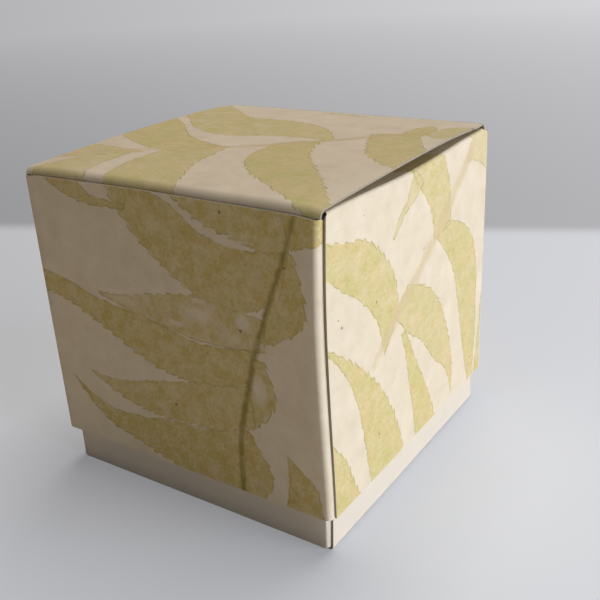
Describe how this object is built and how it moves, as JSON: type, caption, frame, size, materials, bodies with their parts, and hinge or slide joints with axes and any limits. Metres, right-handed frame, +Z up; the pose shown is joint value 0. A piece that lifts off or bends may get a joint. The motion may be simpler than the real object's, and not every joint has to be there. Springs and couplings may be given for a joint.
{
  "type": "two-part paper gift box",
  "caption": "Cube-shaped gift box of folded handmade card: a leaf-printed sleeve cover with a tucked, hinged top over a plain inset base.",
  "frame": {"origin": "on the floor, under the middle of the box", "axes": "+Z up; the front wall, behind which the top flap tucks, faces -Y; the wall with the glued seam faces +X; the hinge wall faces +Y"},
  "size_m": [0.09, 0.09, 0.089],
  "materials": {
    "plain_card": "matt uncoated handmade card, cream",
    "printed_card": "matt uncoated handmade card, cream with green leaf prints"
  },
  "bodies": {
    "base": {"base": "plain_card"},
    "cover": {"cover": "printed_card"},
    "top_flap": {"top_flap": "printed_card"}
  },
  "joints": [
    {"name": "cover_lift", "type": "slide", "parent": "base", "child": "cover", "axis": [0, 0, 1], "range_m": [0, 0.085]},
    {"name": "top_flap_hinge", "type": "hinge", "parent": "cover", "child": "top_flap", "pos_m": [0, 0.0432, 0.0878], "axis": [-1, 0, 0], "range_deg": [0, 135]}
  ]
}
